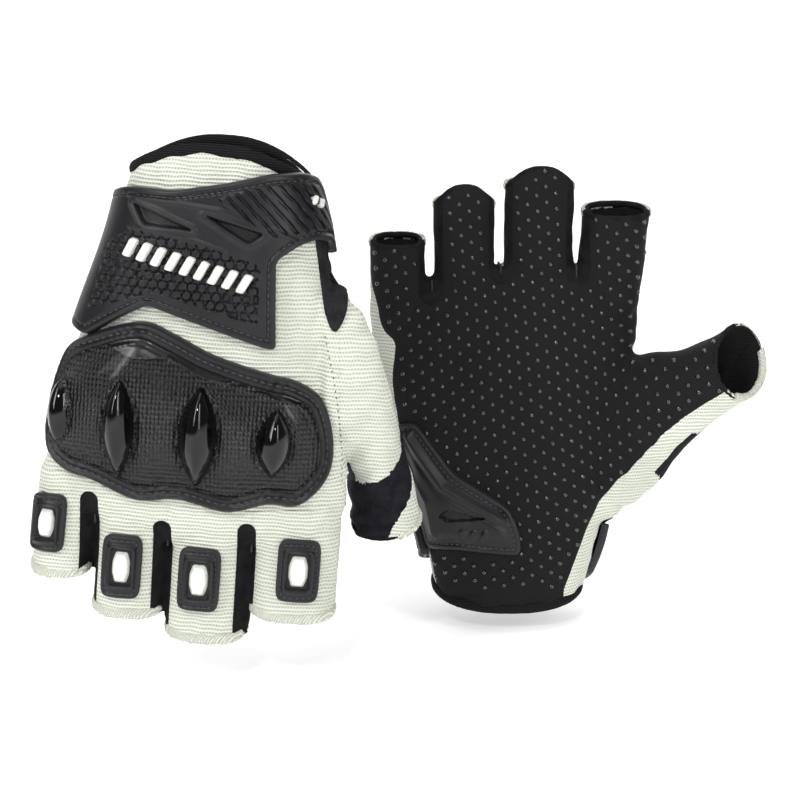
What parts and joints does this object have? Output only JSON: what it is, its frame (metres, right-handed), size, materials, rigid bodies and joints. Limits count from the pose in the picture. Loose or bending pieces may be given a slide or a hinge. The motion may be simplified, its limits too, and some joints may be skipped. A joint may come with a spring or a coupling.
{
  "type": "motorcycle riding gloves",
  "caption": "Pair of half-finger riding gloves with a hard knuckle guard, finger caps, moulded wrist strap and a gripped palm.",
  "frame": {"origin": "centre of glove b's cuff opening, where the wearer's hand holds it up", "axes": "+Z from glove b's cuff to its fingertips, +Y away from its palm, +X towards its thumb"},
  "size_m": [0.2516, 0.1378, 0.1676],
  "materials": {
    "knit": "ribbed pale sage knit",
    "palm_fabric": "black twill with raised silicone dots",
    "binding": "black stretch tape and lining",
    "suede": "black synthetic suede",
    "hook_and_loop": "black hook-and-loop pile",
    "foam": "dark closed-cell foam",
    "moulded_rubber": "satin moulded rubber",
    "guard_shell": "glossy black shell with a fine scale texture",
    "white_rubber": "satin off-white moulding"
  },
  "bodies": {
    "root": {"back_panel_a": "knit", "palm_panel_a": "palm_fabric", "cuff_binding_a": "binding", "knuckle_guard_a": "guard_shell", "knuckle_guard_welt_a": "moulded_rubber", "knuckle_pad_a": "foam", "loop_patch_a": "hook_and_loop", "palm_heel_guard_a": "moulded_rubber", "little_ring_fourchette_a": "binding", "ring_middle_fourchette_a": "binding", "middle_index_fourchette_a": "binding", "back_panel_b": "knit", "palm_panel_b": "palm_fabric", "cuff_binding_b": "binding", "knuckle_guard_b": "guard_shell", "knuckle_guard_welt_b": "moulded_rubber", "knuckle_pad_b": "foam", "loop_patch_b": "hook_and_loop", "palm_heel_guard_b": "moulded_rubber", "little_ring_fourchette_b": "binding", "ring_middle_fourchette_b": "binding", "middle_index_fourchette_b": "binding"},
    "strap_a": {"wrist_strap_a": "moulded_rubber", "strap_badge_a": "white_rubber", "strap_hook_patch_a": "hook_and_loop"},
    "thumb_a": {"thumb_stall_a": "knit", "thumb_patch_a": "suede"},
    "little_finger_a": {"little_stall_a": "knit", "little_cap_a": "moulded_rubber", "little_cap_inlay_a": "white_rubber"},
    "ring_finger_a": {"ring_stall_a": "knit", "ring_cap_a": "moulded_rubber", "ring_cap_inlay_a": "white_rubber"},
    "middle_finger_a": {"middle_stall_a": "knit", "middle_cap_a": "moulded_rubber", "middle_cap_inlay_a": "white_rubber"},
    "index_finger_a": {"index_stall_a": "knit", "index_cap_a": "moulded_rubber", "index_cap_inlay_a": "white_rubber"},
    "strap_b": {"wrist_strap_b": "moulded_rubber", "strap_badge_b": "white_rubber", "strap_hook_patch_b": "hook_and_loop"},
    "thumb_b": {"thumb_stall_b": "knit", "thumb_patch_b": "suede"},
    "little_finger_b": {"little_stall_b": "knit", "little_cap_b": "moulded_rubber", "little_cap_inlay_b": "white_rubber"},
    "ring_finger_b": {"ring_stall_b": "knit", "ring_cap_b": "moulded_rubber", "ring_cap_inlay_b": "white_rubber"},
    "middle_finger_b": {"middle_stall_b": "knit", "middle_cap_b": "moulded_rubber", "middle_cap_inlay_b": "white_rubber"},
    "index_finger_b": {"index_stall_b": "knit", "index_cap_b": "moulded_rubber", "index_cap_inlay_b": "white_rubber"}
  },
  "joints": [
    {"name": "little_bend_a", "type": "hinge", "parent": "root", "child": "little_finger_a", "pos_m": [-0.14625, -0.073, 0.0585], "axis": [0.9969, 0, -0.0785], "range_deg": [-10, 45], "stiffness_Nm_per_rad": 0.1},
    {"name": "ring_bend_a", "type": "hinge", "parent": "root", "child": "ring_finger_a", "pos_m": [-0.12479, -0.073, 0.05079], "axis": [0.9969, 0, -0.0785], "range_deg": [-10, 45], "stiffness_Nm_per_rad": 0.1},
    {"name": "middle_bend_a", "type": "hinge", "parent": "root", "child": "middle_finger_a", "pos_m": [-0.0994, -0.073, 0.04579], "axis": [0.9969, 0, -0.0785], "range_deg": [-10, 45], "stiffness_Nm_per_rad": 0.1},
    {"name": "index_bend_a", "type": "hinge", "parent": "root", "child": "index_finger_a", "pos_m": [-0.07143, -0.073, 0.04559], "axis": [0.9969, 0, -0.0785], "range_deg": [-10, 45], "stiffness_Nm_per_rad": 0.1},
    {"name": "thumb_fold_a", "type": "hinge", "parent": "root", "child": "thumb_a", "pos_m": [-0.05724, -0.066, 0.09463], "axis": [0.0209, 0, 0.9998], "range_deg": [-10, 25], "stiffness_Nm_per_rad": 0.5},
    {"name": "strap_peel_a", "type": "hinge", "parent": "root", "child": "strap_a", "pos_m": [-0.13817, -0.07523, 0.12758], "axis": [-0.3017, -0.1915, -0.934], "range_deg": [0, 95]},
    {"name": "little_bend_b", "type": "hinge", "parent": "root", "child": "little_finger_b", "pos_m": [-0.0376, -0.002, 0.108], "axis": [1, 0, 0], "range_deg": [-10, 45], "stiffness_Nm_per_rad": 0.1},
    {"name": "ring_bend_b", "type": "hinge", "parent": "root", "child": "ring_finger_b", "pos_m": [-0.0143, -0.002, 0.114], "axis": [1, 0, 0], "range_deg": [-10, 45], "stiffness_Nm_per_rad": 0.1},
    {"name": "middle_bend_b", "type": "hinge", "parent": "root", "child": "middle_finger_b", "pos_m": [0.013, -0.002, 0.117], "axis": [1, 0, 0], "range_deg": [-10, 45], "stiffness_Nm_per_rad": 0.1},
    {"name": "index_bend_b", "type": "hinge", "parent": "root", "child": "index_finger_b", "pos_m": [0.0392, -0.002, 0.115], "axis": [1, 0, 0], "range_deg": [-10, 45], "stiffness_Nm_per_rad": 0.1},
    {"name": "thumb_fold_b", "type": "hinge", "parent": "root", "child": "thumb_b", "pos_m": [0.0455, -0.009, 0.065], "axis": [-0.0576, 0, -0.9983], "range_deg": [-10, 40], "stiffness_Nm_per_rad": 0.5},
    {"name": "strap_peel_b", "type": "hinge", "parent": "root", "child": "strap_b", "pos_m": [-0.03777, 0.00023, 0.0385], "axis": [-0.2275, 0.1915, 0.9548], "range_deg": [0, 95]}
  ]
}
